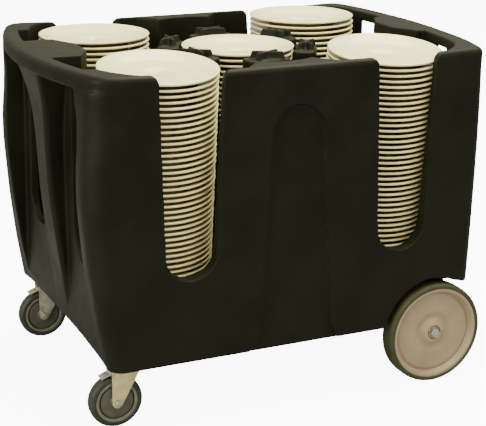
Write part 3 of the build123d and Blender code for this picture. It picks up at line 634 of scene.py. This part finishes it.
# where the stacks stand: the near ones lean out, and the far ones step sideways as they rise
stackLook = {
    "seat": 0.296, "nearSeat": 0.297, "middleSeat": 0.299,
    "casterWell": -0.2765, "wheelWell": 0.3005, "middleWell": 0.016, "aside": 0.2204,
    "lean": 5.35, "nearCount": 38, "stagger": 0.030,
}
lean, nearCount, stagger = (stackLook[key] for key in ("lean", "nearCount", "stagger"))
tall = plateLook["height"] + (nearCount - 1) * plateLook["pitch"]
nearFoot = -stackLook["aside"] + tall * math.sin(math.radians(lean))
farFoot = stackLook["aside"] - stagger
casterWell, wheelWell, seat = (stackLook[key] for key in ("casterWell", "wheelWell", "seat"))
# node: count, foot, lean, and how far the top one stands aside
stacks = {
    "plates_near_caster": (nearCount, (casterWell, nearFoot, stackLook["nearSeat"]), lean, 0.0),
    "plates_near_wheel": (nearCount, (wheelWell, nearFoot, stackLook["nearSeat"]), lean, 0.0),
    "plates_far_caster": (38, (casterWell, farFoot, seat), 0.0, stagger),
    "plates_far_wheel": (39, (wheelWell, farFoot, seat), 0.0, stagger),
    "plates_middle": (37, (stackLook["middleWell"], 0.0, stackLook["middleSeat"]), 0.0, 0.0),
}
for node, (count, foot, tilt, aside) in stacks.items():
    words = node.split("_")
    name = words[0] + "".join(word.capitalize() for word in words[1:])
    step = (0, aside / (count - 1), plateLook["pitch"])
    addPiece(name, stackOf(name, china, count, Vector(foot), tilt, step), china, node, "china",
             node)
bpy.data.objects.remove(stackedPlate)
bpy.data.objects.remove(wholePlate)
print("plates made")

# fixed wheels; a section's points are (out from the middle of the cart, radius, corner radius)
wheelLook = {
    "centre": (0.3876, 0.0, 0.127), "segments": 192,
    "tyre": [(0.3295, 0.1150, 0), (0.3280, 0.1170, 0.001), (0.3280, 0.1215, 0.003),
             (0.3315, 0.1262, 0.004), (0.3400, 0.1270, 0.006), (0.3620, 0.1270, 0.006),
             (0.3705, 0.1262, 0.004), (0.3740, 0.1215, 0.003), (0.3740, 0.1175, 0.001),
             (0.3725, 0.1150, 0)],
    "hub": [(0.3140, 0.01305, 0), (0.3140, 0.0240, 0.0015), (0.3520, 0.0240, 0.003),
            (0.3520, 0.1020, 0.003), (0.3300, 0.1050, 0.001), (0.3300, 0.1150, 0.0005),
            (0.3725, 0.1150, 0.0008), (0.3722, 0.1080, 0.0020), (0.3620, 0.1044, 0.0015),
            (0.3580, 0.1022, 0.0012), (0.3610, 0.0950, 0.0050), (0.3612, 0.0520, 0.0120),
            (0.3560, 0.0360, 0.0090), (0.3675, 0.0250, 0.0050), (0.3682, 0.0175, 0.0012),
            (0.3630, 0.0170, 0.0005), (0.3630, 0.01305, 0)],
}


def wheelPart(name, corners, sign):
    path = roundedPath([(sign * u, v, r) for u, v, r in corners])
    return lathe(name, path, wheelLook["centre"], segments=wheelLook["segments"])


for side, sign in (("far", 1), ("near", -1)):
    body = "wheel_" + side
    addPiece("tyre_%s_piece" % side, wheelPart("tyre" + side, wheelLook["tyre"], sign),
             tyreRubber, body, "rear_tyre", "tyre_" + side)
    addPiece("hub_%s_piece" % side, wheelPart("hub" + side, wheelLook["hub"], sign),
             hubPlastic, body, "hub_plastic", "wheel_hub_" + side)

# casters; coreHalf is one half of the core's section
casterLook = {
    "centre": (-0.415, 0.2885, 0.0635), "segments": 128,
    "tread": [(-0.0150, 0.0500, 0), (-0.0158, 0.0520, 0.001), (-0.0152, 0.0575, 0.004),
              (-0.0105, 0.0628, 0.005), (0.0, 0.0635, 0.02), (0.0105, 0.0628, 0.005),
              (0.0152, 0.0575, 0.004), (0.0158, 0.0520, 0.001), (0.0150, 0.0500, 0)],
    "coreHalf": [(0.0182, 0.0081, 0), (0.0182, 0.0135, 0.001), (0.0143, 0.0165, 0.002),
                 (0.0140, 0.0388, 0.001), (0.0085, 0.0396, 0.0004), (0.0085, 0.0425, 0.0004)],
    "ring": [(-0.0115, 0.0426, 0), (-0.0150, 0.0432, 0.001), (-0.0152, 0.0498, 0.001),
             (0.0152, 0.0498, 0.001), (0.0150, 0.0432, 0.001), (0.0115, 0.0426, 0)],
}
casterX, casterY, casterZ = casterLook["centre"]
coreHalf = casterLook["coreHalf"]
treadPath = roundedPath(casterLook["tread"])
corePath = roundedPath(coreHalf + [(-u, v, r) for u, v, r in reversed(coreHalf)], 4)
ringPath = roundedPath(casterLook["ring"])
for side, sign in (("far", 1), ("near", -1)):
    centre = (casterX, sign * casterY, casterZ)
    body = "caster_wheel_" + side
    tread, core, ring = (
        lathe(name + side, path, centre, segments=casterLook["segments"])
        for name, path in (("tread", treadPath), ("core", corePath), ("ring", ringPath)))
    addPiece("casterTread_" + side, tread, treadRubber, body, "caster_rubber",
             "caster_tread_" + side)
    addPiece("casterCore_" + side, core, corePlastic, body, "core_plastic", "caster_core_" + side)
    addPiece("casterRing_" + side, ring, ringRubber, body, "core_plastic")
print("wheels and casters made")

metalForm = {"flatAngle": 1.0, "edgeAngle": 30.0, "sharpAngle": 35.0, "segments": 2}
# the brake shoe's toe is drawn back along the tread, past this angle and within this radius
shoeFit = {"angle": 117.0, "keep": 0.35, "radius": 0.0715}
# node: width of its broken edges, and finish
crispParts = {
    "rear_axle": (0.0004, brightSteel), "axle_spacer": (0.0004, brightSteel),
    "axle_washers": (0.0003, brightSteel), "axle_nuts": (0.0008, brightSteel),
    "bracket_bolts": (0.0005, brightSteel), "caster_bolts": (0.0005, brightSteel),
}
# the far fork takes the darker zinc partly as painted shade, since the far caster stands in shadow
for side, forkZinc in (("far", dullAndShadedZinc), ("near", zincPlate)):
    crispParts.update({
        "axle_bracket_" + side: (0.0010, zincPlate), "caster_plate_" + side: (0.0005, zincPlate),
        "caster_fork_" + side: (0.0008, forkZinc), "brake_shoe_" + side: (0.0005, dullAndShadedZinc),
        "caster_kingpin_" + side: (0.0004, brightSteel),
        "caster_axle_" + side: (0.0005, brightSteel), "brake_pin_" + side: (0.0004, brightSteel),
        "wheel_bush_" + side: (0.0003, bushPlastic), "caster_bush_" + side: (0.0003, bushPlastic),
    })


def drawBackToe(mesh):
    for vertex in mesh.vertices:
        u, v = vertex.co.x - casterX, vertex.co.z - casterZ
        angle = math.degrees(math.atan2(v, u))
        past = angle - shoeFit["angle"]
        if past > 0:
            angle = math.radians(shoeFit["angle"] + past * shoeFit["keep"])
            radius = min(math.hypot(u, v), shoeFit["radius"])
            vertex.co.x = casterX + radius * math.cos(angle)
            vertex.co.z = casterZ + radius * math.sin(angle)


slots = {entry["node"]: entry["material_slot"] for entry in frame["record"]["subparts"]}
bodies = frame["record"]["behaviour"]["bodies"]
bodyOf = {node: body for body, nodes in bodies.items() for node in nodes}
for node, (width, material) in crispParts.items():
    mesh = crisp(node, width, metalForm)
    if node.startswith("brake_shoe"):
        drawBackToe(mesh)
    addPiece(node + "_piece", mesh, material, bodyOf[node], slots[node], node)
print("metal parts made")

studio = {
    "warmth": (1.0, 0.955, 0.77), "worldStrength": 0.70,
    "floorSeen": colour(0.90, 0.91, 0.94), "floorGlow": colour(9.0, 9.1, 9.6),
    "floorBounce": colour(0.36, 0.36, 0.36), "floorReach": 30.0, "floorHeight": -0.0005,
    # each lamp: place, what it points at, size, power
    "lamps": {"overhead": ((0.7, -0.1, 3.3), (0.05, 0.0, 0.5), (3.2, 2.6), 250),
              "left": ((-3.6, -1.2, 1.7), (-0.3, 0.0, 0.45), (2.2, 2.2), 135),
              "front": ((1.6, -4.2, 2.6), (0.2, -0.2, 0.4), (2.4, 1.8), 40)},
    # the camera: lens and sensor in mm, then its place and its axes
    "lens": 100.1, "sensor": 36.0, "clip": 100.0, "place": (-1.3323, -2.9644, 1.4140),
    "right": (0.90938, -0.41584, 0.01064), "up": (0.11741, 0.28113, 0.95246),
    "back": (-0.39906, -0.86490, 0.30447),
}
floorMesh = bpy.data.meshes.new("floor")
floorMesh.from_pydata([(x * studio["floorReach"], y * studio["floorReach"], studio["floorHeight"])
                       for x, y in ((-1, -1), (1, -1), (1, 1), (-1, 1))], [], [(0, 1, 2, 3)])
floor = bpy.data.objects.new("floor", floorMesh)
bpy.context.scene.collection.objects.link(floor)
# white paper to the camera, but it throws less light back at the dark tub
paper = Shader("paper")
seen = paper.node("ShaderNodeLightPath", output="Is Camera Ray")
floorMesh.materials.append(paper.finish(
    Base_Color=paper.mix(seen, studio["floorBounce"], studio["floorSeen"]),
    Emission_Color=paper.mix(seen, colour(0, 0, 0), studio["floorGlow"]), Emission_Strength=1.0,
    Roughness=0.9, Specular_IOR_Level=0.1))

world = bpy.data.worlds.new("studio")
bpy.context.scene.world = world
world.use_nodes = True
# the same white behind the cart as under it, and only the soft light falls on the cart
sky = world.node_tree
softLight = colour(*(part * studio["worldStrength"] for part in studio["warmth"]))
behind = sky.nodes.new("ShaderNodeMix")
behind.data_type = "RGBA"
behind.inputs[6].default_value = softLight
behind.inputs[7].default_value = studio["floorGlow"]
sky.links.new(sky.nodes.new("ShaderNodeLightPath").outputs["Is Camera Ray"], behind.inputs[0])
sky.links.new(behind.outputs[2], sky.nodes["Background"].inputs["Color"])
sky.nodes["Background"].inputs["Strength"].default_value = 1.0

for name, (place, target, size, power) in studio["lamps"].items():
    lamp = bpy.data.lights.new(name, "AREA")
    lamp.shape = "RECTANGLE"
    lamp.size, lamp.size_y = size
    lamp.energy = power
    lamp.color = studio["warmth"]
    holder = bpy.data.objects.new(name, lamp)
    holder.location = place
    holder.rotation_mode = "QUATERNION"
    holder.rotation_quaternion = (Vector(target) - Vector(place)).to_track_quat("-Z", "Y")
    bpy.context.scene.collection.objects.link(holder)

cameraData = bpy.data.cameras.new("camera")
cameraData.sensor_width = studio["sensor"]
cameraData.lens = studio["lens"]
cameraData.clip_end = studio["clip"]
camera = bpy.data.objects.new("camera", cameraData)
turned = Matrix([Vector(studio[key]) for key in ("right", "up", "back")]).transposed().to_4x4()
camera.matrix_world = Matrix.Translation(studio["place"]) @ turned
bpy.context.scene.collection.objects.link(camera)
bpy.context.scene.camera = camera
print("stage made")
